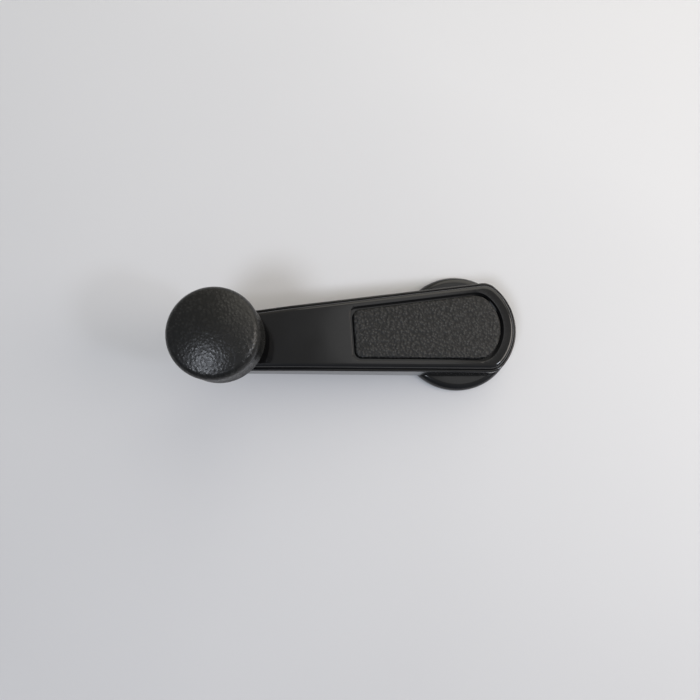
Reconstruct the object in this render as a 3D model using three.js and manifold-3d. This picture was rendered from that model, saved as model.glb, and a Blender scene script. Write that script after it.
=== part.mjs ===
// Window crank handle: a tapered moulded arm that presses onto a splined window-regulator spindle,
// a round trim disc behind its hub, and a spinning knob at its far end.
// Millimetres, +Z up. The origin is on the spindle axis in the plane of the door trim, +Z points
// out of the door, and the arm runs along -X to the knob.
import * as THREE from "three";
import { mergeVertices } from "three/addons/utils/BufferGeometryUtils.js";
import Module from "manifold-3d";

const wasm = await Module();
wasm.setup();

// ---------------------------------------------------------------- driving dimensions
const THROW = 90; // spindle axis to knob axis
const TAPER = THREE.MathUtils.degToRad(4.04); // of each long side of the arm, in plan
const KNOB_END_RADIUS = 10; // of the arm's round end under the knob
const HUB_END_RADIUS = 20.8; // of the arm's round end over the hub
const HUB_TOP = 17; // height of the arm's top face on the spindle axis
const ARM_SLOPE = 0.085; // rise of the top face per millimetre towards the knob
const SLOPE_END = -60; // where the even slope begins to ease off
const PAD_START = -70; // where it has become the level pad under the knob
const PAD_TOP = 22.5;
const SKIRT_BOTTOM = 4.6; // lowest edge of the arm's skirt, over the disc
const DISC_RADIUS = 23.3;
const DISC_HEIGHT = 4;
const KNOB_RADIUS = 15.8;
const KNOB_FOOT = 23.5; // lower end of the knob's neck
const KNOB_LIP = 29.9; // underside of the wide grip above the neck
const KNOB_SEAM = 41.2; // joint between the knob's body and its cap
const KNOB_APEX = 48.2;

// ---------------------------------------------------------------- details
const GAP = 0.3; // between pieces that touch
const SHOULDER_STEP = 1; // the rounded shoulder of the top face, as one small step
const SHOULDER_INSET = 1;
const DRAFT = 0.11; // outward lean of the skirt per millimetre downwards
const DRAFT_DATUM = 2.3; // depth below the top face where the outline has its stated size
const ARM_WALL = 2.4;
const RECESS_DEPTH = 2.2; // for the trim panel
const FLOOR = 1.8; // plastic left under that recess
const POCKET_DEPTH = RECESS_DEPTH + FLOOR;
const RIB = 1.6;
const CROSS_RIBS = [-18, -30, -42, -54, -66, -78];
const HUB_RIB_ANGLES = [55, 125, 235, 305];
const HUB_RIB_BOTTOM = 7; // leaves room for the spring clip below
const TALL = 60; // longer than any cut through the part

const HUB_BOSS_RADIUS = 10.2;
const HUB_BOSS_BOTTOM = 1.2;
const SNAP_LIP = { radius: 11.1, top: 1.8 };
const DISC_HOLE_RADIUS = 10.6;
const DISC_WEB_BOTTOM = 2.2;

const BUSH_CORNER_RADIUS = 8.3; // of the hexagonal insert
const BUSH_BOTTOM = 1.4;
const BUSH_TOP = 12;
const SOCKET_TOP = 10.8;
const SPLINE = { teeth: 24, tip: 4.6, root: 5.2 };

const WIRE_RADIUS = 0.8;
const CLIP_HEIGHT = 5.2; // of the spring clip's plane
const CLIP_LEG_Y = 4.7;
const CLIP_SLOT = { y: 3.6, width: 2.3, bottom: 4.1, height: 2.2 };

const PANEL = { start: -42.3, sideInset: 4.35, endRadius: 14.7, corner: 3, proud: 0.3, gap: 1 };
const PANEL_LEGS = [
  [-38, 5],
  [-15, 8],
  [11.3, 4.5],
];
const LEG = { length: 1.6, width: 2.6, play: 0.35, nose: 0.8, noseHeight: 0.9 };

const KNOB_BOSS_RADIUS = 7;
const KNOB_BOSS_BOTTOM = 17;
const RIVET_RADIUS = 2.6;
const RIVET_WASHER = { radius: 5.5, bottom: 15.9, top: 16.7 };
const JOURNAL_RADIUS = 3.5;
const NECK_RADIUS = 3;
const SPINDLE_END = 45;

// ---------------------------------------------------------------- solids
const move = (x, y, z) => new THREE.Matrix4().makeTranslation(x, y, z);

function solid(geometry) {
  const bare = new THREE.BufferGeometry();
  bare.setAttribute("position", geometry.getAttribute("position").clone());
  if (geometry.index) bare.setIndex(geometry.index.clone());
  const merged = mergeVertices(bare, 1e-4);
  return new wasm.Manifold(
    new wasm.Mesh({
      numProp: 3,
      vertProperties: new Float32Array(merged.attributes.position.array),
      triVerts: new Uint32Array(merged.index.array),
    }),
  );
}

function geometryOf(manifold) {
  const mesh = manifold.getMesh();
  const geometry = new THREE.BufferGeometry();
  geometry.setAttribute("position", new THREE.BufferAttribute(mesh.vertProperties, 3));
  geometry.setIndex(new THREE.BufferAttribute(mesh.triVerts, 1));
  geometry.computeVertexNormals();
  return geometry;
}

const union = (solids) => solids.reduce((all, next) => all.add(next));

// A plan outline as an upright prism.
function prism(shape, bottom, height, curveSegments = 6) {
  const geometry = new THREE.ExtrudeGeometry(shape, { depth: height, bevelEnabled: false, curveSegments });
  return solid(geometry.applyMatrix4(move(0, 0, bottom)));
}

// A plan outline as a tall prism whose sides lean outwards towards the bottom.
function drafted(shape) {
  const geometry = new THREE.ExtrudeGeometry(shape, { depth: TALL, bevelEnabled: false, curveSegments: 6 });
  const position = geometry.getAttribute("position");
  for (let i = 0; i < position.count; i++) {
    const x = position.getX(i);
    const centre = THREE.MathUtils.clamp(x, -THROW, 0);
    const outward = new THREE.Vector2(x - centre, position.getY(i)).normalize();
    const lean = DRAFT * (faceHeight(x) - DRAFT_DATUM - position.getZ(i));
    position.setX(i, x + outward.x * lean);
    position.setY(i, position.getY(i) + outward.y * lean);
  }
  return solid(geometry);
}

// A side view, drawn as (x, z), as a prism across the arm.
function sidePrism(shape) {
  const geometry = new THREE.ExtrudeGeometry(shape, { depth: TALL, bevelEnabled: false, curveSegments: 8 });
  return solid(geometry.rotateX(Math.PI / 2).translate(0, TALL / 2, 0));
}

function post(radius, bottom, top, sides = 40, x = 0) {
  const geometry = new THREE.CylinderGeometry(radius, radius, top - bottom, sides);
  return solid(geometry.rotateX(Math.PI / 2).translate(x, 0, (top + bottom) / 2));
}

function block(x0, x1, y0, y1, z0, z1) {
  const geometry = new THREE.BoxGeometry(x1 - x0, y1 - y0, z1 - z0);
  return solid(geometry.translate((x0 + x1) / 2, (y0 + y1) / 2, (z0 + z1) / 2));
}

// A profile of [radius, height] pairs turned round the Z axis, listed so that its faces point out.
function turned(profile, segments) {
  const points = profile.map(([radius, height]) => new THREE.Vector2(radius, height));
  return new THREE.LatheGeometry(points, segments).rotateX(Math.PI / 2);
}

// Points on a quarter-like arc from one angle to another, in degrees, for a turned profile.
function arc(centreRadius, centreHeight, radius, from, to, steps) {
  return Array.from({ length: steps + 1 }, (_, i) => {
    const angle = THREE.MathUtils.degToRad(from + ((to - from) * i) / steps);
    return [centreRadius + radius * Math.cos(angle), centreHeight + radius * Math.sin(angle)];
  });
}

// ---------------------------------------------------------------- outlines
const halfWidth = (x, inset) => (KNOB_END_RADIUS - inset) / Math.cos(TAPER) + Math.tan(TAPER) * (x + THROW);

// Where the tapered side meets an arc round the spindle axis.
function hubCorner(radius, inset) {
  const rise = Math.tan(TAPER);
  const start = halfWidth(0, inset);
  const square = 1 + rise * rise;
  const root = Math.sqrt(start * start * rise * rise - square * (start * start - radius * radius));
  const x = (root - start * rise) / square;
  return new THREE.Vector2(x, halfWidth(x, inset));
}

// Starts an outline with its hub end, from its lower side round to its upper side.
function startWithHubEnd(shape, radius, inset, blend) {
  const corner = hubCorner(radius, inset);
  const before = corner.x - blend;
  const angle = corner.angle() - blend / radius;
  const after = new THREE.Vector2(radius * Math.cos(angle), radius * Math.sin(angle));
  shape.moveTo(before, -halfWidth(before, inset));
  shape.quadraticCurveTo(corner.x, -corner.y, after.x, -after.y);
  shape.absarc(0, 0, radius, -angle, angle, false);
  shape.quadraticCurveTo(corner.x, corner.y, before, halfWidth(before, inset));
}

// The arm from above: a round knob end, two tapered sides and a wider round hub end.
function armOutline(inset) {
  const shape = new THREE.Shape();
  startWithHubEnd(shape, HUB_END_RADIUS - inset, inset, 2.5);
  const start = Math.PI / 2 + TAPER;
  shape.absarc(-THROW, 0, KNOB_END_RADIUS - inset, start, -start, false);
  return shape;
}

// The trim panel from above: square at the arm's middle, with the hub end's arc over the hub.
function panelOutline(inset) {
  const { start, sideInset, endRadius, corner } = PANEL;
  const x = start + inset;
  const side = sideInset + inset;
  const shape = new THREE.Shape();
  startWithHubEnd(shape, endRadius - inset, side, 3);
  shape.lineTo(x + corner, halfWidth(x + corner, side));
  shape.quadraticCurveTo(x, halfWidth(x, side), x, halfWidth(x, side) - corner);
  shape.lineTo(x, corner - halfWidth(x, side));
  shape.quadraticCurveTo(x, -halfWidth(x, side), x + corner, -halfWidth(x + corner, side));
  return shape;
}

const evenSlope = (x) => HUB_TOP - ARM_SLOPE * x;
const faceHeight = (x) => Math.min(evenSlope(x), PAD_TOP);

// The arm from the side: its top face lowered by drop, its underside raised by raise.
function armSide(drop, raise) {
  const bottom = SKIRT_BOTTOM + raise;
  const bendEnd = evenSlope(SLOPE_END) - drop;
  const pad = PAD_TOP - drop;
  const shape = new THREE.Shape();
  shape.moveTo(TALL / 2, bottom);
  shape.lineTo(TALL / 2, evenSlope(TALL / 2) - drop);
  shape.lineTo(SLOPE_END, bendEnd);
  shape.bezierCurveTo(SLOPE_END - 4, bendEnd + 4 * ARM_SLOPE, PAD_START + 4, pad, PAD_START, pad);
  shape.lineTo(-THROW - TALL / 2, pad);
  shape.lineTo(-THROW - TALL / 2, bottom + 13.2);
  shape.lineTo(-40, bottom + 2.4);
  shape.bezierCurveTo(-32, bottom + 1.3, -24, bottom, -14, bottom);
  return shape;
}

// ---------------------------------------------------------------- the arm
// Ribs and bosses that stay when the underside is hollowed out.
function armRibs() {
  const along = block(KNOB_BOSS_RADIUS / 2 - THROW, -9, -RIB / 2, RIB / 2, 0, TALL);
  const across = CROSS_RIBS.map((x) => block(x - RIB / 2, x + RIB / 2, -TALL / 2, TALL / 2, 0, TALL));
  const ribs = union([along, ...across]).intersect(sidePrism(armSide(0, 1)));
  const hubRibs = HUB_RIB_ANGLES.map((degrees) => {
    const geometry = new THREE.BoxGeometry(12, RIB, TALL).translate(15, 0, HUB_RIB_BOTTOM + TALL / 2);
    return solid(geometry.rotateZ(THREE.MathUtils.degToRad(degrees)));
  });
  return union([ribs, ...hubRibs]);
}

function panelLegSlots() {
  const { length, width, play } = LEG;
  const slots = PANEL_LEGS.flatMap(([x, y]) =>
    [-1, 1].map((side) => {
      const centre = side * y;
      return block(
        x - length / 2 - play,
        x + length / 2 + play,
        centre - width / 2 - play,
        centre + width / 2 + play,
        HUB_RIB_BOTTOM,
        TALL,
      );
    }),
  );
  return union(slots);
}

function clipSlots() {
  const { y, width, bottom, height } = CLIP_SLOT;
  const reach = HUB_BOSS_RADIUS + 2;
  return union([
    block(-reach, reach, y, y + width, bottom, bottom + height),
    block(-reach, reach, -y - width, -y, bottom, bottom + height),
  ]);
}

const hexagon = (radius, bottom, top) => post(radius, bottom, top, 6);

function crankArm() {
  const skirt = drafted(armOutline(0)).intersect(sidePrism(armSide(SHOULDER_STEP, 0)));
  const face = prism(armOutline(SHOULDER_INSET), 0, TALL).intersect(sidePrism(armSide(0, 0)));
  const hubBoss = post(HUB_BOSS_RADIUS, HUB_BOSS_BOTTOM, HUB_TOP - RECESS_DEPTH - 1);
  const knobBoss = post(KNOB_BOSS_RADIUS, KNOB_BOSS_BOTTOM, PAD_TOP - 1, 32, -THROW);
  const pocket = drafted(armOutline(ARM_WALL))
    .intersect(sidePrism(armSide(POCKET_DEPTH, -SKIRT_BOTTOM)))
    .subtract(armRibs())
    .subtract(knobBoss)
    .subtract(post(HUB_BOSS_RADIUS, 0, HUB_TOP));
  const recessFloor = sidePrism(armSide(RECESS_DEPTH, -SKIRT_BOTTOM));
  const recess = prism(panelOutline(-PANEL.gap), 0, TALL).subtract(recessFloor);
  const lip = post(SNAP_LIP.radius, HUB_BOSS_BOTTOM, SNAP_LIP.top);
  return union([skirt.add(face).subtract(pocket), hubBoss, lip])
    .subtract(recess)
    .subtract(panelLegSlots())
    .subtract(hexagon(BUSH_CORNER_RADIUS + GAP + 0.05, 0, BUSH_TOP + GAP))
    .subtract(clipSlots())
    .subtract(post(RIVET_WASHER.radius + 0.8, 0, KNOB_BOSS_BOTTOM, 32, -THROW))
    .subtract(post(RIVET_RADIUS + GAP, 0, TALL, 24, -THROW));
}

// The grained panel: a plate that follows the arm's slope, on snap legs.
function trimPanel() {
  const { length, width, play, nose, noseHeight } = LEG;
  const top = sidePrism(armSide(-PANEL.proud, 0));
  const underPlate = sidePrism(armSide(RECESS_DEPTH - GAP, -SKIRT_BOTTOM));
  const plate = prism(panelOutline(0), 0, TALL).intersect(top).subtract(underPlate);
  const legs = PANEL_LEGS.flatMap(([x, y]) =>
    [-1, 1].map((side) => {
      const floor = evenSlope(x) - POCKET_DEPTH;
      const noseTop = floor - 2 * GAP;
      const outer = side * (y + width / 2);
      const leg = block(
        x - length / 2,
        x + length / 2,
        side * y - width / 2,
        side * y + width / 2,
        noseTop - noseHeight,
        floor + FLOOR + 1,
      );
      const hook = block(
        x - length / 2,
        x + length / 2,
        Math.min(outer, outer + side * (nose + play)) - 0.1,
        Math.max(outer, outer + side * (nose + play)) + 0.1,
        noseTop - noseHeight,
        noseTop,
      );
      return leg.add(hook);
    }),
  );
  return union([plate, ...legs]);
}

// ---------------------------------------------------------------- the hub
// The metal insert: a hexagonal block with a blind serrated socket and two cross slots for the clip.
function splineBush() {
  const points = Array.from({ length: 2 * SPLINE.teeth }, (_, i) => {
    const radius = i % 2 ? SPLINE.root : SPLINE.tip;
    const angle = (i * Math.PI) / SPLINE.teeth;
    return new THREE.Vector2(radius * Math.cos(angle), radius * Math.sin(angle));
  });
  const socket = prism(new THREE.Shape(points), 0, SOCKET_TOP);
  return hexagon(BUSH_CORNER_RADIUS, BUSH_BOTTOM, BUSH_TOP).subtract(socket).subtract(clipSlots());
}

// The horseshoe spring clip: two straight legs that cross the socket's sides, joined by a round bow.
function spindleClip() {
  const half = [
    [-12.4, 6.6],
    [-10.4, 5.2],
    [-8.6, CLIP_LEG_Y],
    [0, CLIP_LEG_Y],
    [9, CLIP_LEG_Y],
    [11.4, 5.9],
    [14.4, 5.6],
    [16.4, 2.6],
  ];
  const points = [...half, ...half.toReversed().map(([x, y]) => [x, -y])];
  const path = new THREE.CatmullRomCurve3(points.map(([x, y]) => new THREE.Vector3(x, y, CLIP_HEIGHT)));
  const section = new THREE.Shape(
    Array.from({ length: 8 }, (_, i) => {
      const angle = (i * Math.PI) / 4;
      return new THREE.Vector2(WIRE_RADIUS * Math.cos(angle), WIRE_RADIUS * Math.sin(angle));
    }),
  );
  return new THREE.ExtrudeGeometry(section, { steps: 52, extrudePath: path, bevelEnabled: false });
}

// The round trim disc behind the hub: a shallow dish that snaps over the hub boss's lip.
function escutcheonDisc() {
  const roll = 2.8;
  const wall = 1.8;
  const ring = { inner: 14.6, outer: 15.8, bottom: 0.6 };
  const inner = DISC_RADIUS - wall;
  return turned(
    [
      [inner, 0],
      [DISC_RADIUS, 0],
      ...arc(DISC_RADIUS - roll, DISC_HEIGHT - roll, roll, 0, 90, 4),
      [DISC_HOLE_RADIUS, DISC_HEIGHT],
      [DISC_HOLE_RADIUS, DISC_WEB_BOTTOM],
      [ring.inner, DISC_WEB_BOTTOM],
      [ring.inner, ring.bottom],
      [ring.outer, ring.bottom],
      [ring.outer, DISC_WEB_BOTTOM],
      [inner, DISC_WEB_BOTTOM],
      [inner, 0],
    ],
    56,
  );
}

// ---------------------------------------------------------------- the knob
const WASHER = { bore: JOURNAL_RADIUS + GAP };
const COLLAR = { radius: 5.5, bottom: PAD_TOP + GAP, top: 23.8 };
const THRUST = { radius: 7.5, bottom: COLLAR.top + GAP, top: 24.9 };
const BUSHING = { outer: 5, flange: 6.5, bottom: THRUST.top + GAP, flangeTop: 26.4, top: 42.2 };
const WEB = { bottom: 25.5, top: 28 };
const KNOB_NECK = { inner: 9.6, outer: 12, top: 27.2 };
const KNOB_INNER_RADIUS = 13.4;
const LOCK_HEIGHT = 43.7;

// The steel pin: riveted under the arm, with a collar on the pad and a journal for the knob.
function knobSpindle() {
  return turned(
    [
      [0, 14.6],
      [2.6, 14.6],
      [4, 15.2],
      [4, 15.6],
      [RIVET_RADIUS, 15.6],
      [RIVET_RADIUS, COLLAR.bottom],
      [COLLAR.radius, COLLAR.bottom],
      [COLLAR.radius, COLLAR.top],
      [JOURNAL_RADIUS, COLLAR.top],
      [JOURNAL_RADIUS, LOCK_HEIGHT - GAP],
      [NECK_RADIUS, LOCK_HEIGHT - GAP],
      [NECK_RADIUS, SPINDLE_END - 0.4],
      [NECK_RADIUS - 0.4, SPINDLE_END],
      [0, SPINDLE_END],
    ],
    24,
  );
}

function plainWasher(bore, radius, bottom, top) {
  return turned(
    [
      [bore, bottom],
      [radius, bottom],
      [radius, top],
      [bore, top],
      [bore, bottom],
    ],
    24,
  );
}

// A spring washer with three waves, which takes up the knob's end play.
function waveWasher() {
  const middle = (BUSHING.top + LOCK_HEIGHT) / 2;
  const lift = 0.3;
  const geometry = turned(
    [
      [WASHER.bore, middle - 0.15],
      [6, middle - 0.15],
      [6, middle + 0.15],
      [WASHER.bore, middle + 0.15],
      [WASHER.bore, middle - 0.15],
    ],
    36,
  );
  const position = geometry.getAttribute("position");
  for (let i = 0; i < position.count; i++) {
    const angle = Math.atan2(position.getY(i), position.getX(i));
    position.setZ(i, position.getZ(i) + lift * Math.cos(3 * angle));
  }
  return geometry;
}

// A push-on lock washer: a ring with six notches in its bore, so that tongues grip the spindle.
function lockWasher() {
  const thickness = 0.6;
  const ring = post(6.2, LOCK_HEIGHT, LOCK_HEIGHT + thickness, 24);
  const notches = Array.from({ length: 3 }, (_, i) => {
    const geometry = new THREE.BoxGeometry(9, 0.8, 4).translate(0, 0, LOCK_HEIGHT);
    return solid(geometry.rotateZ((i * Math.PI) / 3));
  });
  return ring.subtract(post(NECK_RADIUS + GAP, 0, TALL, 24)).subtract(union(notches));
}

// The flanged bearing sleeve pressed into the knob's body.
function knobBush() {
  return turned(
    [
      [WASHER.bore, BUSHING.bottom],
      [BUSHING.flange, BUSHING.bottom],
      [BUSHING.flange, BUSHING.flangeTop],
      [BUSHING.outer, BUSHING.flangeTop],
      [BUSHING.outer, BUSHING.top],
      [WASHER.bore, BUSHING.top],
      [WASHER.bore, BUSHING.bottom],
    ],
    24,
  );
}

// The knob's outer side is drawn in to a slight waist.
function knobSide(bottom, top, steps) {
  const waist = 0.8;
  return Array.from({ length: steps + 1 }, (_, i) => {
    const height = bottom + ((top - bottom) * i) / steps;
    return [KNOB_RADIUS - waist * Math.sin((Math.PI * i) / steps), height];
  });
}

// The knob's body: a narrow neck below a waisted grip, round a hub tube for the sleeve.
function knobBody() {
  const tube = { bore: BUSHING.outer + GAP, outer: 7.2, top: 42 };
  const counterbore = { radius: BUSHING.flange + GAP, top: BUSHING.flangeTop + GAP };
  const lip = 0.8;
  return turned(
    [
      [KNOB_NECK.inner, KNOB_FOOT],
      [KNOB_NECK.outer - 0.4, KNOB_FOOT],
      [KNOB_NECK.outer, KNOB_FOOT + 0.4],
      [KNOB_NECK.outer, KNOB_NECK.top],
      ...arc(KNOB_NECK.outer + 2.4, KNOB_NECK.top, 2.4, 150, 90, 3),
      [KNOB_RADIUS - lip, KNOB_LIP],
      ...knobSide(KNOB_LIP + lip, KNOB_SEAM, 6),
      [KNOB_INNER_RADIUS, KNOB_SEAM],
      [KNOB_INNER_RADIUS, 31.8],
      [KNOB_NECK.inner + 0.4, 29.4],
      [KNOB_NECK.inner + 0.4, WEB.top],
      [tube.outer, WEB.top],
      [tube.outer, tube.top],
      [tube.bore, tube.top],
      [tube.bore, counterbore.top],
      [counterbore.radius, counterbore.top],
      [counterbore.radius, WEB.bottom],
      [KNOB_NECK.inner, WEB.bottom],
      [KNOB_NECK.inner, KNOB_FOOT],
    ],
    40,
  );
}

// The domed cap that snaps into the body's mouth and hides the lock washer.
function knobCap() {
  const seam = KNOB_SEAM + GAP;
  const shoulder = { radius: 3.2, height: 42.7 };
  const wall = 1.9;
  const skirt = { outer: KNOB_INNER_RADIUS - GAP - 0.1, inner: 11.9, bottom: 38.6 };
  const crownRadius = KNOB_RADIUS - shoulder.radius * (1 - Math.cos(Math.PI / 3));
  const crownEdge = shoulder.height + shoulder.radius * Math.sin(Math.PI / 3);
  const crown = Array.from({ length: 5 }, (_, i) => {
    const share = 1 - (i + 1) / 5;
    const radius = (crownRadius - 0.6) * share;
    return [radius, KNOB_APEX - (KNOB_APEX - crownEdge - 0.3) * share * share];
  });
  return turned(
    [
      [skirt.inner, skirt.bottom],
      [skirt.outer, skirt.bottom],
      [skirt.outer, seam],
      [KNOB_RADIUS, seam],
      ...arc(KNOB_RADIUS - shoulder.radius, shoulder.height, shoulder.radius, 0, 60, 3),
      ...crown,
      [0, KNOB_APEX - wall],
      [skirt.inner, crownEdge - wall],
      [skirt.inner, skirt.bottom],
    ],
    40,
  );
}

// ---------------------------------------------------------------- assembly
function material(color, roughness, metalness) {
  return new THREE.MeshStandardMaterial({ color, roughness, metalness });
}

const glossBlack = material(0x1c1d1e, 0.18, 0);
const grainBlack = material(0x2b2b2c, 0.6, 0);
const acetal = material(0xe6e4dc, 0.45, 0);
const zincedSteel = material(0xb4b3ac, 0.35, 1);
const springSteel = material(0x55565a, 0.4, 1);

function named(name, made, surface) {
  const geometry = made.isBufferGeometry ? made : geometryOf(made);
  const mesh = new THREE.Mesh(geometry, surface);
  mesh.name = name;
  return mesh;
}

const crankHandle = new THREE.Group();

crankHandle.add(named("escutcheon_disc", escutcheonDisc(), glossBlack));
crankHandle.add(named("crank_arm", crankArm(), glossBlack));
crankHandle.add(named("trim_panel", trimPanel(), grainBlack));
crankHandle.add(named("spline_bush", splineBush(), zincedSteel));
crankHandle.add(named("spindle_clip", spindleClip(), springSteel));

const { radius, bottom, top } = RIVET_WASHER;
const rivetWasher = plainWasher(RIVET_RADIUS + GAP, radius, bottom, top);
const thrustWasher = plainWasher(WASHER.bore, THRUST.radius, THRUST.bottom, THRUST.top);
const knobAxis = new THREE.Group();
knobAxis.position.x = -THROW;
knobAxis.add(named("knob_spindle", knobSpindle(), zincedSteel));
knobAxis.add(named("rivet_washer", rivetWasher, zincedSteel));
knobAxis.add(named("thrust_washer", thrustWasher, acetal));
knobAxis.add(named("knob_bush", knobBush(), acetal));
knobAxis.add(named("knob_body", knobBody(), grainBlack));
knobAxis.add(named("wave_washer", waveWasher(), springSteel));
knobAxis.add(named("lock_washer", lockWasher(), springSteel));
knobAxis.add(named("knob_cap", knobCap(), grainBlack));
crankHandle.add(knobAxis);

export default crankHandle;
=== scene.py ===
"""A window crank handle: moulded arm, trim disc, grained panel and spinning knob, on a pale floor.

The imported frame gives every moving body. The moulded pieces that show are modelled here in full
and stand for their CAD nodes, while the small metal and acetal pieces keep their CAD solids.
Lengths in the modelling functions are millimetres, and mesh_object() turns them to metres.
The floor, the lights and the camera are placed in metres.
"""

import math

import bmesh
import bpy
from mathutils import Matrix, Vector


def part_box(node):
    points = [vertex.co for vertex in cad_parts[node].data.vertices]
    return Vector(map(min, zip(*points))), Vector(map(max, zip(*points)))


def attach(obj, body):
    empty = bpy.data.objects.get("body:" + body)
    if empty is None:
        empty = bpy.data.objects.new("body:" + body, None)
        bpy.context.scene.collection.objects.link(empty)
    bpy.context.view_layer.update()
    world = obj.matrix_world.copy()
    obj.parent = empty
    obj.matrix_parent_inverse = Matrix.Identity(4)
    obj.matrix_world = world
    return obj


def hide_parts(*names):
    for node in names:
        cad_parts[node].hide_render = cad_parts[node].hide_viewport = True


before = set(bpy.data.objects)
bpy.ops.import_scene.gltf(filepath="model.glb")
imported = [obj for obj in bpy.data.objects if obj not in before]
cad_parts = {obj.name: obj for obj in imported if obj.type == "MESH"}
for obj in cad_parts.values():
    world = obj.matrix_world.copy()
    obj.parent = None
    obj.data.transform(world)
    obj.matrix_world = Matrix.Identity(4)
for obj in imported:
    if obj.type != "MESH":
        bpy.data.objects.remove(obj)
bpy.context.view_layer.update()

MM = 0.001


def corners(node):
    """The lowest and highest corner of a CAD node, in millimetres."""
    low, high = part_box(node)
    return Vector(low) / MM, Vector(high) / MM


# ---------------------------------------------------------------- sizes taken from the frame
ARM_LOW, ARM_HIGH = corners("crank_arm")
DISC_HIGH = corners("escutcheon_disc")[1]
PANEL_LOW, PANEL_HIGH = corners("trim_panel")
BODY_LOW, BODY_HIGH = corners("knob_body")
CAP_LOW, CAP_HIGH = corners("knob_cap")
BUSH_LOW, BUSH_HIGH = corners("spline_bush")

THROW = -(CAP_LOW.x + CAP_HIGH.x) / 2
PAD_TOP = ARM_HIGH.z
HUB_FOOT = ARM_LOW.z
PANEL_HUB_RADIUS = PANEL_HIGH.x
DISC_RADIUS = DISC_HIGH.x
DISC_HEIGHT = DISC_HIGH.z
KNOB_RADIUS = (CAP_HIGH.x - CAP_LOW.x) / 2

# ---------------------------------------------------------------- the arm and its panel
TAPER = math.radians(4.04)
HUB_END_RADIUS = 20.8
KNOB_END_RADIUS = 10.0
HUB_TOP = 17.0  # top face on the spindle axis
ARM_SLOPE = 0.085
SLOPE_END = -60.0  # where the even slope of the top face begins to ease off
PAD_START = -70.0  # where it has become the level pad under the knob
BEND_EASE = 4.0  # how far each end pulls the bend between them
SKIRT_BOTTOM = 4.6
SKIRT_FLARE = 1.0  # the skirt stands this much wider at its foot
FOOT_FLAT = -14.0  # the skirt's foot is level from the hub out to here
FOOT_STRAIGHT = -40.0  # and rises evenly beyond here
FOOT_RISE = 2.4
FOOT_SLOPE = 0.135
WALL = 2.4
RECESS = 2.2
CEILING = 4.0  # depth of the underside's ceiling below the top face
SINK = 0.9  # how far the ribs' tops are sunk in the ceiling
HUB_CORNER_BLEND = 2.5
PANEL_START = PANEL_LOW.x
PANEL_SIDE = 4.35
PANEL_CORNER = 3.0
PANEL_GAP = 1.0
RIB = 1.6
CROSS_RIBS = (-18, -30, -42, -54, -66, -78)
HUB_RIB_ANGLES = (55, 125, 235, 305)
HUB_RIB_FOOT = 2.4  # above the skirt's foot, which leaves room for the spring clip
HUB_BOSS_RADIUS = 10.2
HUB_BOSS_TOP = 14.0
SNAP_LIP = {"radius": 11.1, "top": 1.8, "slope_end": 2.1}  # holds the disc on the hub boss
KNOB_BOSS_RADIUS = 7.0
KNOB_BOSS_FOOT = 17.0
RIVET_POCKET_RADIUS = 6.3
PIN_HOLE_RADIUS = 2.9
PIN_CUTS_FOOT = 9.0  # clear below the skirt's foot at the knob end
CLIP_SLOT = {"reach": 12.2, "middle": 4.75, "half_width": 1.15, "low": 4.1, "high": 6.3}
LEG_PLACES = ((-38, 5), (-15, 8), (11.3, 4.5))
LEG_LENGTH = 1.6
LEG_WIDTH = 2.6
LEG_PLAY = 0.35
LEG_SLOT = {"low": 7.0, "high": 30.0}  # cut right through the recess floor
LEG_FOOT = 1.5  # the snap legs reach this far below the ceiling
STATIONS = [-88 + 2 * i for i in range(49)]  # where the outlines have a point on each long side

# ---------------------------------------------------------------- the disc and the knob
DISC_WALL = 1.8
DISC_ROLL = 2.6
DISC_HOLE_RADIUS = 10.6
DISC_WEB_FOOT = 2.2
DISC_RING = {"inner": 14.6, "outer": 15.8, "foot": 0.6}  # stiffens the disc's hollow side
NECK = {"inner": 9.6, "outer": 12.0}
KNOB_LIP = 30.7  # where the waisted grip begins
KNOB_WAIST = 0.8  # how far the grip is drawn in at its middle
KNOB_MOUTH_RADIUS = 13.4
KNOB_WEB = {"foot": 25.5, "top": 28.0}
SLEEVE_TUBE = {"bore": 5.3, "outer": 7.2, "top": 42.0}  # holds the bearing sleeve
SLEEVE_SEAT = {"radius": 6.8, "top": 26.7}  # for the sleeve's flange
SEAM_GAP = 0.3
CAP_SKIRT = {"inner": 11.9, "outer": 13.0, "foot": 38.6}
CAP_BULGE = 38.0  # radius of the cap's shallow dome
CAP_RIM = 13.0  # where the dome meets the rounded shoulder
CAP_SHOULDER = 3.2


# ---------------------------------------------------------------- meshes
def ring_of(bm, points):
    """A closed loop of edges through (x, y, z) points."""
    verts = [bm.verts.new(p) for p in points]
    return [bm.edges.new((verts[i - 1], verts[i])) for i in range(len(verts))]


def loft(bm, loops):
    """Walls between loops that all have the same number of points, in order."""
    rings = [ring_of(bm, points) for points in loops]
    for lower, upper in zip(rings, rings[1:]):
        bmesh.ops.bridge_loops(bm, edges=lower + upper)
    return rings


def tidy(bm):
    """Merges doubled vertices and turns every face outwards."""
    bmesh.ops.remove_doubles(bm, verts=bm.verts, dist=1e-4)
    bmesh.ops.recalc_face_normals(bm, faces=bm.faces)


def mesh_object(name, bm):
    """A finished mesh, turned from millimetres to metres, as an object at the origin."""
    bmesh.ops.transform(bm, matrix=Matrix.Scale(MM, 4), verts=bm.verts)
    mesh = bpy.data.meshes.new(name)
    bm.to_mesh(mesh)
    bm.free()
    piece = bpy.data.objects.new(name, mesh)
    bpy.context.scene.collection.objects.link(piece)
    return piece


def combine(piece, bm, operation):
    """Joins a tool mesh to a piece, or cuts it away, and keeps the result as the piece's mesh."""
    tool = mesh_object("tool", bm)
    step = piece.modifiers.new("combine", "BOOLEAN")
    step.operation = operation
    step.object = tool
    step.solver = "MANIFOLD"
    graph = bpy.context.evaluated_depsgraph_get()
    result = bpy.data.meshes.new_from_object(piece.evaluated_get(graph))
    piece.modifiers.clear()
    piece.data = result
    bpy.data.objects.remove(tool)


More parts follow.
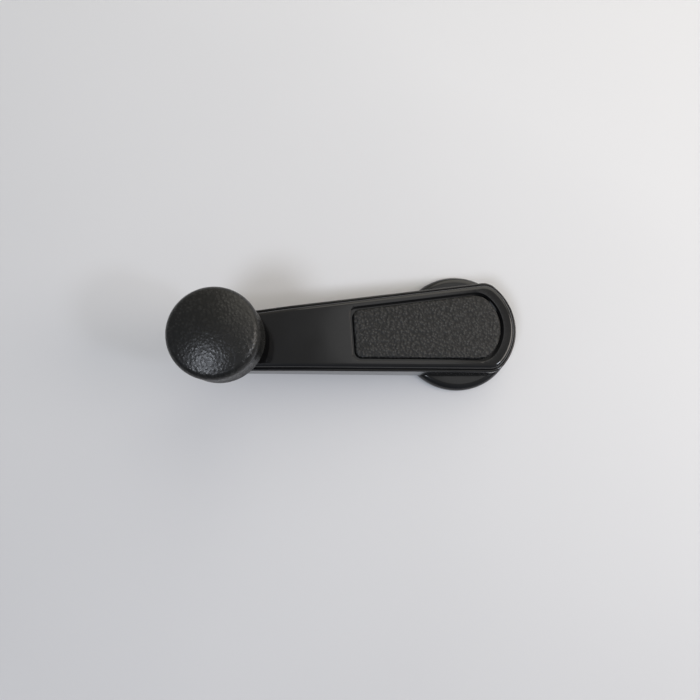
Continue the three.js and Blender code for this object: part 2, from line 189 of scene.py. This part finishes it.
def smooth(piece, angle=32):
    """Smooth shading, with flat faces kept flat beside their rounded edges."""
    piece.data.shade_smooth()
    piece.data.set_sharp_from_angle(angle=math.radians(angle))
    piece.modifiers.new("even normals", "WEIGHTED_NORMAL").keep_sharp = True


def keep(piece, material, body, slot, *nodes):
    """Gives a piece its finish and its body, and lets it stand for its CAD nodes."""
    piece.data.materials.clear()
    piece.data.materials.append(material)
    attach(piece, body)
    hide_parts(*nodes)


def rounded(profile, segments=6):
    """A profile of (radius, height, corner radius), with each corner turned into an arc."""
    points = []
    for i, (r, z, fillet) in enumerate(profile):
        corner = Vector((r, z))
        if not fillet or i in (0, len(profile) - 1):
            points.append(corner)
            continue
        before = (Vector(profile[i - 1][:2]) - corner).normalized()
        after = (Vector(profile[i + 1][:2]) - corner).normalized()
        half = before.angle(after) / 2
        reach = fillet / math.tan(half)
        centre = corner + (before + after).normalized() * (fillet / math.sin(half))
        start = corner + before * reach - centre
        end = corner + after * reach - centre
        sweep = start.angle_signed(end)
        for step in range(segments + 1):
            turn = Matrix.Rotation(-sweep * step / segments, 2)
            points.append(centre + turn @ start)
    return points


def turned(points, x=0.0, steps=128):
    """A solid turned round an upright axis at x from a profile of (radius, height)."""
    bm = bmesh.new()
    verts = [bm.verts.new((x + r, 0, z)) for r, z in points]
    edges = [bm.edges.new(pair) for pair in zip(verts, verts[1:])]
    bmesh.ops.spin(
        bm,
        geom=verts + edges,
        cent=(x, 0, 0),
        axis=(0, 0, 1),
        angle=math.tau,
        steps=steps,
        use_merge=True,
    )
    tidy(bm)
    # A profile that crosses the axis leaves one edge on it that belongs to no face.
    loose = [edge for edge in bm.edges if not edge.link_faces]
    bmesh.ops.delete(bm, geom=loose, context="EDGES")
    return bm


def block(bm, low, high):
    """A plain block between two corners, added to a mesh."""
    centre = (Vector(low) + Vector(high)) / 2
    size = Vector(high) - Vector(low)
    place = Matrix.Translation(centre) @ Matrix.Diagonal((*size, 1))
    return bmesh.ops.create_cube(bm, size=1, matrix=place)["verts"]


# ---------------------------------------------------------------- outlines and heights of the arm
def half_width(x, inset):
    """Half the arm's width at x, along its tapered sides."""
    return (KNOB_END_RADIUS - inset) / math.cos(TAPER) + math.tan(TAPER) * (x + THROW)


def hub_corner(radius, inset):
    """Where a tapered side meets an arc round the spindle axis."""
    rise = math.tan(TAPER)
    start = half_width(0, inset)
    square = 1 + rise * rise
    root = math.sqrt((start * rise) ** 2 - square * (start**2 - radius**2))
    x = (root - start * rise) / square
    return Vector((x, half_width(x, inset)))


def bend(a, b, c, count):
    """Points on a quadratic curve from a to c, pulled towards b, without its last point."""
    shares = [i / count for i in range(count)]
    return [a * (1 - t) ** 2 + b * 2 * t * (1 - t) + c * t * t for t in shares]


def hub_side(radius, inset, blend, count):
    """The upper half of a hub end, from the x axis round to the start of the tapered side."""
    corner = hub_corner(radius, inset)
    angle = math.atan2(corner.y, corner.x) - blend / radius
    end = Vector((radius * math.cos(angle), radius * math.sin(angle)))
    side = Vector((corner.x - blend, half_width(corner.x - blend, inset)))
    turns = [angle * i / count for i in range(count)]
    points = [Vector((radius * math.cos(t), radius * math.sin(t))) for t in turns]
    return points + bend(end, corner, side, 8) + [side]


def mirrored(points):
    """An upper half from one end of the x axis to the other, closed with its lower half."""
    return points + [Vector((p.x, -p.y)) for p in reversed(points[1:-1])]


def arm_outline(inset):
    """The arm from above: a round knob end, two tapered sides and a wider hub end."""
    points = hub_side(HUB_END_RADIUS - inset, inset, HUB_CORNER_BLEND, 24)
    points += [Vector((x, half_width(x, inset))) for x in reversed(STATIONS) if x < 8]
    start = math.pi / 2 + TAPER
    radius = KNOB_END_RADIUS - inset
    for i in range(21):
        angle = start + (math.pi - start) * i / 20
        points.append(Vector((radius * math.cos(angle) - THROW, radius * math.sin(angle))))
    return mirrored(points)


def panel_outline(inset):
    """The panel from above: square at the arm's middle, with the hub end's arc over the hub."""
    side = PANEL_SIDE + inset
    start = PANEL_START + inset
    corner = PANEL_CORNER
    points = hub_side(PANEL_HUB_RADIUS - inset, side, PANEL_CORNER, 20)
    straight = Vector((start + corner, half_width(start + corner, side)))
    tip = Vector((start, half_width(start, side)))
    points += bend(straight, tip, tip - Vector((0, corner)), 10)
    points += [tip - Vector((0, corner)), Vector((start, 0))]
    return mirrored(points)


def curve_height(x, ends, pulls):
    """Height at x of a cubic curve between two (x, z) ends with their two control points."""
    low, high = 0.0, 1.0
    for _ in range(40):
        t = (low + high) / 2
        weights = ((1 - t) ** 3, 3 * t * (1 - t) ** 2, 3 * t * t * (1 - t), t**3)
        dots = (ends[0], pulls[0], pulls[1], ends[1])
        here = sum(w * p[0] for w, p in zip(weights, dots))
        if here < x:
            low = t
        else:
            high = t
    return sum(w * p[1] for w, p in zip(weights, dots))


def top_height(x):
    """Height of the arm's top face: an even slope that eases into the level pad."""
    if x >= SLOPE_END:
        return HUB_TOP - ARM_SLOPE * x
    if x <= PAD_START:
        return PAD_TOP
    foot = HUB_TOP - ARM_SLOPE * SLOPE_END
    upper = (PAD_START + BEND_EASE, PAD_TOP)
    lower = (SLOPE_END - BEND_EASE, foot + BEND_EASE * ARM_SLOPE)
    return curve_height(x, ((PAD_START, PAD_TOP), (SLOPE_END, foot)), (upper, lower))


def foot_height(x):
    """Height of the skirt's foot: level over the disc, then rising towards the knob."""
    low = SKIRT_BOTTOM
    if x >= FOOT_FLAT:
        return low
    if x <= FOOT_STRAIGHT:
        return low + FOOT_RISE - (x - FOOT_STRAIGHT) * FOOT_SLOPE
    ends = ((FOOT_STRAIGHT, low + FOOT_RISE), (FOOT_FLAT, low))
    return curve_height(x, ends, ((-32, low + 1.3), (-24, low)))


# Heights near FOOT are measured from the skirt's foot, and the rest from the top face.
FOOT = -1000.0


def raise_to_shape(bm):
    """Lifts a mesh that was made flat onto the arm's sloping top face and curved foot."""
    for vert in bm.verts:
        if vert.co.z < FOOT / 2:
            vert.co.z += foot_height(vert.co.x) - FOOT
        else:
            vert.co.z += top_height(vert.co.x)


def slice_across(bm, faces, places):
    """Cuts faces across the arm, so that they can follow its bend."""
    for x in places:
        live = [face for face in faces if face.is_valid]
        geom = {item for face in live for item in (face, *face.edges, *face.verts)}
        cut = bmesh.ops.bisect_plane(
            bm, geom=list(geom), dist=1e-5, plane_co=(x, 0, 0), plane_no=(1, 0, 0)
        )
        faces = [item for item in cut["geom"] if isinstance(item, bmesh.types.BMFace)]
    return faces


def at(outline, height):
    """An outline's points, all at one height."""
    return [(p.x, p.y, height) for p in outline]


def roll(inset, height, radius, steps):
    """(inset, height) pairs over a quarter roll, from its upright side to its top."""
    angles = [math.pi / 2 * i / steps for i in range(steps + 1)]
    return [
        (inset + radius * (1 - math.cos(a)), height - radius * (1 - math.sin(a))) for a in angles
    ]


# ---------------------------------------------------------------- the moulded arm
def arm_skin():
    """The arm's closed shell: skirt, outer roll, ledge, bead and panel recess, hollow below."""
    bm = bmesh.new()
    inner = [
        (WALL + 0.9, -CEILING),
        (WALL + 0.3, -CEILING - 0.6),
        (WALL - SKIRT_FLARE, FOOT + 0.3),
        (WALL - SKIRT_FLARE - 0.3, FOOT),
    ]
    outer = [
        (0.3 - SKIRT_FLARE, FOOT),
        (0.1 - SKIRT_FLARE, FOOT + 0.1),
        (-SKIRT_FLARE, FOOT + 0.3),
        (-0.66, -5),
        *roll(-0.55, -1.9, 0.6, 8),
        (0.3, -1.98),
        (0.48, -2.12),
        (0.6, -2.02),
        *roll(0.65, 0, 1.55, 10),
    ]
    rings = loft(bm, [at(arm_outline(inset), z) for inset, z in inner + outer])
    ceiling = bmesh.ops.contextual_create(bm, geom=rings[0])["faces"]
    slice_across(bm, ceiling, STATIONS)

    recess = [
        (-PANEL_GAP - 0.25, 0),
        (-PANEL_GAP - 0.08, -0.08),
        (-PANEL_GAP, -0.25),
        (-PANEL_GAP, -RECESS),
    ]
    walls = loft(bm, [at(panel_outline(inset), z) for inset, z in recess])
    bmesh.ops.contextual_create(bm, geom=walls[-1])
    plateau = bmesh.ops.triangle_fill(
        bm, use_beauty=True, use_dissolve=False, edges=rings[-1] + walls[0]
    )
    faces = [item for item in plateau["geom"] if isinstance(item, bmesh.types.BMFace)]
    slice_across(bm, faces, [x for x in STATIONS if x < PANEL_START - 1])
    raise_to_shape(bm)
    tidy(bm)
    return bm


def arm_ribs():
    """The ribs in the underside: one along, several across, and four round the hub's boss."""
    meshes = []
    inset = WALL - SKIRT_FLARE / 2 - 0.2  # their ends are sunk in the skirt
    long_rib = bmesh.new()
    low = (KNOB_BOSS_RADIUS / 2 - THROW, -RIB / 2, FOOT + 1)
    block(long_rib, low, (-9, RIB / 2, SINK - CEILING))
    slice_across(long_rib, list(long_rib.faces), STATIONS)
    raise_to_shape(long_rib)
    meshes.append(long_rib)
    for x in CROSS_RIBS:
        rib = bmesh.new()
        reach = half_width(x, inset)
        block(rib, (x - RIB / 2, -reach, FOOT + 1), (x + RIB / 2, reach, SINK - CEILING))
        raise_to_shape(rib)
        meshes.append(rib)
    for degrees in HUB_RIB_ANGLES:
        angle = math.radians(degrees)
        to_side = half_width(0, inset) / (abs(math.sin(angle)) - math.tan(TAPER) * math.cos(angle))
        reach = min(HUB_END_RADIUS - inset, to_side)
        rib = bmesh.new()
        low = (9, -RIB / 2, FOOT + HUB_RIB_FOOT)
        verts = block(rib, low, (reach, RIB / 2, SINK - CEILING))
        bmesh.ops.rotate(rib, verts=verts, matrix=Matrix.Rotation(angle, 3, "Z"))
        raise_to_shape(rib)
        meshes.append(rib)
    return meshes


def knob_post(radius, low, high):
    """A plain round solid on the knob's axis."""
    return turned([(0, low), (radius, low), (radius, high), (0, high)], -THROW, 64)


def insert_socket():
    """The six-sided space for the metal insert in the hub."""
    bm = bmesh.new()
    radius = (BUSH_HIGH.y - BUSH_LOW.y) / 2 + 0.35
    depth = BUSH_HIGH.z + 0.3
    bmesh.ops.create_cone(
        bm,
        cap_ends=True,
        segments=6,
        radius1=radius,
        radius2=radius,
        depth=depth,
        matrix=Matrix.Translation((0, 0, depth / 2)) @ Matrix.Rotation(math.pi / 2, 4, "Z"),
    )
    return bm


def slot_cut(low, high):
    """A straight-sided cut between two corners."""
    bm = bmesh.new()
    block(bm, low, high)
    return bm


def crank_arm():
    """The arm with its ribs and bosses, cut out for the insert, pin, clip and snap legs."""
    arm = mesh_object("arm_moulding", arm_skin())
    for rib in arm_ribs():
        combine(arm, rib, "UNION")
    hub = [
        (0, HUB_FOOT, 0),
        (SNAP_LIP["radius"], HUB_FOOT, 0.2),
        (SNAP_LIP["radius"], SNAP_LIP["top"], 0.1),
        (HUB_BOSS_RADIUS, SNAP_LIP["slope_end"], 0),
        (HUB_BOSS_RADIUS, HUB_BOSS_TOP, 0),
        (0, HUB_BOSS_TOP, 0),
    ]
    combine(arm, turned(rounded(hub)), "UNION")
    boss = [
        (0, KNOB_BOSS_FOOT, 0),
        (KNOB_BOSS_RADIUS, KNOB_BOSS_FOOT, 0.4),
        (KNOB_BOSS_RADIUS, PAD_TOP - 1, 0),
        (0, PAD_TOP - 1, 0),
    ]
    combine(arm, turned(rounded(boss), -THROW, 64), "UNION")
    combine(arm, knob_post(RIVET_POCKET_RADIUS, PIN_CUTS_FOOT, KNOB_BOSS_FOOT), "DIFFERENCE")
    combine(arm, knob_post(PIN_HOLE_RADIUS, PIN_CUTS_FOOT, 2 * PAD_TOP), "DIFFERENCE")
    combine(arm, insert_socket(), "DIFFERENCE")

    reach, half = CLIP_SLOT["reach"], CLIP_SLOT["half_width"]
    length = LEG_LENGTH / 2 + LEG_PLAY
    width = LEG_WIDTH / 2 + LEG_PLAY
    for side in (-1, 1):
        middle = side * CLIP_SLOT["middle"]
        low = (-reach, middle - half, CLIP_SLOT["low"])
        combine(arm, slot_cut(low, (reach, middle + half, CLIP_SLOT["high"])), "DIFFERENCE")
        for x, y in LEG_PLACES:
            low = (x - length, side * y - width, LEG_SLOT["low"])
            high = (x + length, side * y + width, LEG_SLOT["high"])
            combine(arm, slot_cut(low, high), "DIFFERENCE")
    smooth(arm)
    return arm


# ---------------------------------------------------------------- the grained panel
def trim_panel():
    """The grained plate with its rolled edge, on six snap legs with outward hooks."""
    bm = bmesh.new()
    levels = [
        (0.4, -RECESS + 0.3),
        (0, -RECESS + 0.6),
        *roll(0, 0.1, 0.8, 8),
        (1.9, 0.22),
        (3.2, 0.3),
    ]
    rings = loft(bm, [at(panel_outline(inset), z) for inset, z in levels])
    bmesh.ops.contextual_create(bm, geom=rings[0])
    bmesh.ops.contextual_create(bm, geom=rings[-1])
    raise_to_shape(bm)
    tidy(bm)
    panel = mesh_object("grained_panel", bm)
    for x, y in LEG_PLACES:
        for side in (-1, 1):
            floor = top_height(x) - CEILING
            centre = side * y
            leg = bmesh.new()
            low = (x - LEG_LENGTH / 2, centre - LEG_WIDTH / 2, floor - LEG_FOOT)
            block(leg, low, (x + LEG_LENGTH / 2, centre + LEG_WIDTH / 2, floor + CEILING - 1))
            combine(panel, leg, "UNION")
            hook = bmesh.new()
            ends = sorted((centre + side * 0.5, centre + side * (LEG_WIDTH / 2 + 1.2)))
            low = (x - LEG_LENGTH / 2, ends[0], floor - LEG_FOOT)
            block(hook, low, (x + LEG_LENGTH / 2, ends[1], floor - 0.6))
            combine(panel, hook, "UNION")
    smooth(panel)
    return panel


# ---------------------------------------------------------------- turned mouldings
def trim_disc():
    """A shallow dish with a rolled edge, a stiffening ring below and a hole for the hub boss."""
    inner = DISC_RADIUS - DISC_WALL
    profile = [
        (inner, 0, 0),
        (DISC_RADIUS, 0, 0.35),
        (DISC_RADIUS, DISC_HEIGHT, DISC_ROLL),
        (DISC_HOLE_RADIUS, DISC_HEIGHT, 0.3),
        (DISC_HOLE_RADIUS, DISC_WEB_FOOT, 0),
        (DISC_RING["inner"], DISC_WEB_FOOT, 0),
        (DISC_RING["inner"], DISC_RING["foot"], 0.2),
        (DISC_RING["outer"], DISC_RING["foot"], 0.2),
        (DISC_RING["outer"], DISC_WEB_FOOT, 0),
        (inner, DISC_WEB_FOOT, 0.5),
        (inner, 0, 0),
    ]
    piece = mesh_object("trim_disc", turned(rounded(profile, 10)))
    smooth(piece)
    return piece


def grip(share, top):
    """A point of the waisted grip, at a share of its height."""
    radius = KNOB_RADIUS - KNOB_WAIST * math.sin(math.pi * share)
    return (radius, KNOB_LIP + (top - KNOB_LIP) * share, 0)


def knob_wall():
    """The knob's body: neck, waisted grip and eased seam outside, sleeve tube inside."""
    foot = BODY_LOW.z
    seam = BODY_HIGH.z
    profile = [
        (NECK["inner"], foot, 0),
        (NECK["outer"], foot, 0.5),
        (NECK["outer"], KNOB_LIP - 1.1, 2.2),
        (KNOB_RADIUS - 0.4, KNOB_LIP - 0.8, 0.4),
        *[grip(i / 16, seam) for i in range(16)],
        (KNOB_RADIUS - 0.12, seam - 0.45, 0),
        (KNOB_RADIUS - 0.22, seam - 0.18, 0),
        (KNOB_RADIUS - 0.5, seam, 0),
        (KNOB_MOUTH_RADIUS, seam, 0),
        (KNOB_MOUTH_RADIUS, 31.8, 0.8),
        (NECK["inner"] + 0.4, 29.4, 0.5),
        (NECK["inner"] + 0.4, KNOB_WEB["top"], 0.4),
        (SLEEVE_TUBE["outer"], KNOB_WEB["top"], 0.5),
        (SLEEVE_TUBE["outer"], SLEEVE_TUBE["top"], 0.3),
        (SLEEVE_TUBE["bore"], SLEEVE_TUBE["top"], 0),
        (SLEEVE_TUBE["bore"], SLEEVE_SEAT["top"], 0),
        (SLEEVE_SEAT["radius"], SLEEVE_SEAT["top"], 0),
        (SLEEVE_SEAT["radius"], KNOB_WEB["foot"], 0.2),
        (NECK["inner"], KNOB_WEB["foot"], 0.4),
        (NECK["inner"], foot, 0),
    ]
    piece = mesh_object("knob_wall", turned(rounded(profile), -THROW))
    smooth(piece)
    return piece


def knob_cap():
    """The cap: a shallow dome that meets the side in a rounded shoulder, over a plain skirt."""
    seam = BODY_HIGH.z + SEAM_GAP
    crown = CAP_HIGH.z
    slope = CAP_RIM / CAP_BULGE
    rim_height = crown - CAP_RIM * slope / 2
    profile = [
        (CAP_SKIRT["inner"], CAP_SKIRT["foot"], 0),
        (CAP_SKIRT["outer"], CAP_SKIRT["foot"], 0.2),
        (CAP_SKIRT["outer"], seam, 0),
        (KNOB_RADIUS - 0.5, seam, 0),
        (KNOB_RADIUS - 0.1, seam + 0.2, 0),
        (KNOB_RADIUS, seam + 0.5, 0),
        (KNOB_RADIUS, rim_height - (KNOB_RADIUS - CAP_RIM) * slope, CAP_SHOULDER),
        (CAP_RIM, rim_height, 0),
    ]
    points = rounded(profile, 12)
    for i in range(1, 15):
        radius = CAP_RIM * (1 - i / 14)
        points.append(Vector((radius, crown - radius**2 / (2 * CAP_BULGE))))
    inside = [
        (0, crown - 1.9, 0),
        (CAP_SKIRT["inner"], crown - 4.6, 0.6),
        (CAP_SKIRT["inner"], CAP_SKIRT["foot"], 0),
    ]
    piece = mesh_object("knob_top", turned(points + rounded(inside), -THROW))
    smooth(piece, 40)
    return piece


# ---------------------------------------------------------------- finishes
def linear(code):
    """An sRGB hex colour as linear RGBA."""
    parts = [int(code[i : i + 2], 16) / 255 for i in (1, 3, 5)]
    return (*[p / 12.92 if p <= 0.04045 else ((p + 0.055) / 1.055) ** 2.4 for p in parts], 1)


def add(tree, kind, links=(), **settings):
    """One node, with its plain settings, and links given as (input, value or output socket)."""
    node = tree.nodes.new(kind)
    for key, value in settings.items():
        setattr(node, key, value)
    for socket, value in links:
        if isinstance(value, bpy.types.NodeSocket):
            tree.links.new(value, node.inputs[socket])
        else:
            node.inputs[socket].default_value = value
    return node


def scale_for(size_mm):
    """The texture scale that gives features of a size in millimetres."""
    return 1 / (size_mm * MM)


def noise(tree, place, size_mm, detail):
    """Cloudy noise whose patches have a size in millimetres."""
    links = [("Vector", place), ("Scale", scale_for(size_mm)), ("Detail", detail)]
    return add(tree, "ShaderNodeTexNoise", links)


def material(name):
    """An empty material: itself, its node tree, its shader and the place on the piece."""
    made = bpy.data.materials.new(name)
    made.use_nodes = True
    tree = made.node_tree
    tree.nodes.clear()
    shader = add(tree, "ShaderNodeBsdfPrincipled")
    add(tree, "ShaderNodeOutputMaterial", [("Surface", shader.outputs[0])])
    place = add(tree, "ShaderNodeTexCoord").outputs["Object"]
    return made, tree, shader, place


def ramp(tree, factor, low, high, dark, light):
    """A mix of two colours as a factor goes from low to high."""
    share = add(tree, "ShaderNodeMapRange", [(0, factor), (1, low), (2, high)])
    # Inputs 6 and 7 and output 2 are the colour sockets of a Mix node.
    mix = add(tree, "ShaderNodeMix", data_type="RGBA")
    tree.links.new(share.outputs[0], mix.inputs[0])
    mix.inputs[6].default_value = dark
    mix.inputs[7].default_value = light
    return mix.outputs[2]


def share_along(tree, place, direction):
    """How far a place lies along a direction."""
    links = [(0, place), (1, direction)]
    return add(tree, "ShaderNodeVectorMath", links, operation="DOT_PRODUCT").outputs["Value"]


def gloss_black_abs():
    """Polished-mould ABS: a deep black gloss with a faint orange peel and dull handling haze."""
    made, tree, shader, place = material("gloss black ABS")
    haze = noise(tree, place, 18.2, 4)
    peel = noise(tree, place, 2.38, 2)
    colour = ramp(tree, haze.outputs[0], 0.3, 0.7, linear("#101011"), linear("#151516"))
    tree.links.new(colour, shader.inputs["Base Color"])
    rough = add(
        tree, "ShaderNodeMapRange", [(0, haze.outputs[0]), (1, 0.3), (2, 0.7), (3, 0.08), (4, 0.15)]
    )
    tree.links.new(rough.outputs[0], shader.inputs["Roughness"])
    bump = add(
        tree,
        "ShaderNodeBump",
        [("Strength", 0.08), ("Distance", 0.02 * MM), ("Height", peel.outputs[0])],
    )
    tree.links.new(bump.outputs[0], shader.inputs["Normal"])
    shader.inputs["IOR"].default_value = 1.53
    shader.inputs["Specular IOR Level"].default_value = 0.42
    return made


def grained_black_abs(name, pebble_mm, depth_mm, dark, light, rough):
    """Spark-eroded leather grain in ABS, with satin pebbles. The colour paints the light on it: the
    pebble tops are lighter as a painted highlight, and the valleys are darker as painted shade.
    """
    made, tree, shader, place = material(name)
    warp = noise(tree, place, 1.43, 2)
    shift = add(tree, "ShaderNodeVectorMath", [(0, warp.outputs["Color"])], operation="SCALE")
    shift.inputs["Scale"].default_value = 0.55 * MM
    moved = add(tree, "ShaderNodeVectorMath", [(0, place), (1, shift.outputs[0])], operation="ADD")
    cells = add(
        tree,
        "ShaderNodeTexVoronoi",
        [("Vector", moved.outputs[0]), ("Scale", scale_for(pebble_mm))],
        feature="SMOOTH_F1",
    )
    cells.inputs["Smoothness"].default_value = 0.6
    fine = noise(tree, place, pebble_mm / 2.2, 3)
    height = add(tree, "ShaderNodeMix", [(0, 0.35)], data_type="FLOAT")
    pebbles = add(tree, "ShaderNodeMath", [(0, 1.0), (1, cells.outputs[0])], operation="SUBTRACT")
    tree.links.new(pebbles.outputs[0], height.inputs[2])
    tree.links.new(fine.outputs[0], height.inputs[3])
    # Painted highlight and shade: the colour runs from dark in the grain's valleys to light on the
    # pebble tops.
    colour = ramp(tree, height.outputs[0], 0.48, 0.76, dark, light)
    tree.links.new(colour, shader.inputs["Base Color"])
    dull = add(
        tree,
        "ShaderNodeMapRange",
        [(0, height.outputs[0]), (1, 0.3), (2, 0.7), (3, rough + 0.15), (4, rough)],
    )
    tree.links.new(dull.outputs[0], shader.inputs["Roughness"])
    bump = add(
        tree,
        "ShaderNodeBump",
        [("Strength", 1.0), ("Distance", depth_mm * MM), ("Height", height.outputs[0])],
    )
    tree.links.new(bump.outputs[0], shader.inputs["Normal"])
    shader.inputs["IOR"].default_value = 1.53
    shader.inputs["Specular IOR Level"].default_value = 0.34
    return made


def natural_acetal():
    """Moulded acetal: waxy off-white, faintly clouded, with a soft satin surface."""
    made, tree, shader, place = material("natural acetal")
    cloud = noise(tree, place, 3.33, 3)
    colour = ramp(tree, cloud.outputs[0], 0.3, 0.7, linear("#dcd9cd"), linear("#e8e5dc"))
    tree.links.new(colour, shader.inputs["Base Color"])
    bump = add(
        tree,
        "ShaderNodeBump",
        [("Strength", 0.2), ("Distance", 0.03 * MM), ("Height", cloud.outputs[0])],
    )
    tree.links.new(bump.outputs[0], shader.inputs["Normal"])
    shader.inputs["Roughness"].default_value = 0.42
    shader.inputs["IOR"].default_value = 1.48
    return made


def plated_metal(name, dark, light, rough):
    """Barrel-plated or oiled steel: a clouded metal sheen over a fine tumbled surface."""
    made, tree, shader, place = material(name)
    cloud = noise(tree, place, 3.85, 5)
    scratch = noise(tree, place, 0.385, 2)
    colour = ramp(tree, cloud.outputs[0], 0.3, 0.7, dark, light)
    tree.links.new(colour, shader.inputs["Base Color"])
    dull = add(
        tree,
        "ShaderNodeMapRange",
        [(0, cloud.outputs[0]), (1, 0.3), (2, 0.7), (3, rough + 0.12), (4, rough)],
    )
    tree.links.new(dull.outputs[0], shader.inputs["Roughness"])
    bump = add(
        tree,
        "ShaderNodeBump",
        [("Strength", 0.3), ("Distance", 0.02 * MM), ("Height", scratch.outputs[0])],
    )
    tree.links.new(bump.outputs[0], shader.inputs["Normal"])
    shader.inputs["Metallic"].default_value = 1
    return made


def pale_floor():
    """A matt pale grey sheet with painted light: it darkens a little towards one corner, away from
    the window lamp, under faint random clouding.
    """
    made, tree, shader, place = material("pale matt sheet")
    # Painted light: the sheet is lighter towards the window lamp's side and darker away from it,
    # with faint random clouding on top.
    across = share_along(tree, place, (0.6, 0.8, 0))
    cloud = noise(tree, place, 167, 2)
    painted_falloff_and_cloud = add(
        tree,
        "ShaderNodeMath",
        [(0, cloud.outputs[0]), (1, 0.1), (2, across)],
        operation="MULTIPLY_ADD",
    )
    colour = ramp(tree, painted_falloff_and_cloud.outputs[0], -0.15, 0.15, linear("#bfbfc1"), linear("#d6d6d7"))
    tree.links.new(colour, shader.inputs["Base Color"])
    shader.inputs["Roughness"].default_value = 0.6
    return made


gloss = gloss_black_abs()
# The grain's pebbles are 1 mm, about as fine as the view can show. They are deep on the flat
# panel and worn shallow on the knob.
# Each grain's two colours paint shade in the valleys and a highlight on the pebble tops.
panel_grain = grained_black_abs(
    "grained ABS, panel", 1.0, 0.5, linear("#030303"), linear("#282827"), 0.42
)
knob_grain = grained_black_abs(
    "grained ABS, knob", 1.0, 0.16, linear("#0c0c0b"), linear("#222221"), 0.25
)
acetal = natural_acetal()
zinc = plated_metal("bright zinc plate", linear("#a5a49c"), linear("#c4c3bb"), 0.28)
spring = plated_metal("oiled spring steel", linear("#3c3d40"), linear("#5a5b5e"), 0.34)

# ---------------------------------------------------------------- the pieces
keep(trim_disc(), gloss, "escutcheon", "gloss_black", "escutcheon_disc")
keep(crank_arm(), gloss, "crank", "gloss_black", "crank_arm")
keep(trim_panel(), panel_grain, "crank", "grained_black", "trim_panel")
keep(knob_wall(), knob_grain, "knob", "grained_black", "knob_body")
keep(knob_cap(), knob_grain, "knob", "grained_black", "knob_cap")

for node, finish in (
    ("spline_bush", zinc),
    ("spindle_clip", spring),
    ("knob_spindle", zinc),
    ("rivet_washer", zinc),
    ("thrust_washer", acetal),
    ("knob_bush", acetal),
    ("wave_washer", spring),
    ("lock_washer", spring),
):
    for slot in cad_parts[node].material_slots:
        slot.material = finish


# ---------------------------------------------------------------- floor, lights, room and camera
def floor():
    """A plain flat sheet, three metres square."""
    bm = bmesh.new()
    bmesh.ops.create_grid(bm, x_segments=1, y_segments=1, size=1500)
    piece = mesh_object("floor", bm)
    piece.data.materials.append(pale_floor())


def soft_light(name, place, size, watts, colour):
    """A round soft lamp that faces the handle's hub."""
    light = bpy.data.lights.new(name, "AREA")
    light.shape = "DISK"
    light.size = size
    light.energy = watts
    light.color = linear(colour)[:3]
    lamp = bpy.data.objects.new(name, light)
    lamp.location = place
    lamp.rotation_euler = (-Vector(place)).to_track_quat("-Z", "Y").to_euler()
    bpy.context.scene.collection.objects.link(lamp)


def grey_room():
    """A grey room that is lighter and warmer towards the window."""
    world = bpy.data.worlds.new("grey room")
    bpy.context.scene.world = world
    world.use_nodes = True
    tree = world.node_tree
    tree.nodes.clear()
    facing = add(tree, "ShaderNodeTexCoord").outputs["Generated"]
    across = share_along(tree, facing, (0.5, 0.85, 0))
    glow = add(tree, "ShaderNodeMapRange", [(0, across), (1, -0.9), (2, 0.9), (3, 0.24), (4, 0.76)])
    tint = ramp(tree, across, -0.8, 0.8, linear("#d0d8e6"), linear("#e2dccf"))
    sky = add(tree, "ShaderNodeBackground", [("Color", tint), ("Strength", glow.outputs[0])])
    add(tree, "ShaderNodeOutputWorld", [("Surface", sky.outputs[0])])


def view_camera():
    """A camera almost straight above the handle, leaning a few degrees."""
    camera = bpy.data.objects.new("camera", bpy.data.cameras.new("camera"))
    camera.data.sensor_width = 36
    camera.data.lens = 29.34
    camera.data.clip_start = 0.01
    camera.location = (-0.05203, -0.03175, 0.23142)
    camera.rotation_euler = (0.1237, -0.0276, -0.0731)
    bpy.context.scene.collection.objects.link(camera)
    bpy.context.scene.camera = camera


floor()
soft_light("window", (0.4, 0.6, 0.5), 1.0, 3.2, "#fffaf0")
soft_light("side", (0.7, -0.04, 0.55), 0.5, 3.0, "#fff6ee")
soft_light("ceiling", (0.3, 0.17, 1.1), 0.34, 0.2, "#ffffff")
soft_light("lamp left", (-0.46, -0.44, 1.05), 0.36, 5.4, "#eef4ff")
soft_light("lamp right", (0.75, -0.36, 0.8), 0.16, 2.2, "#eef4ff")
grey_room()
view_camera()
bpy.context.scene.view_settings.view_transform = "Standard"
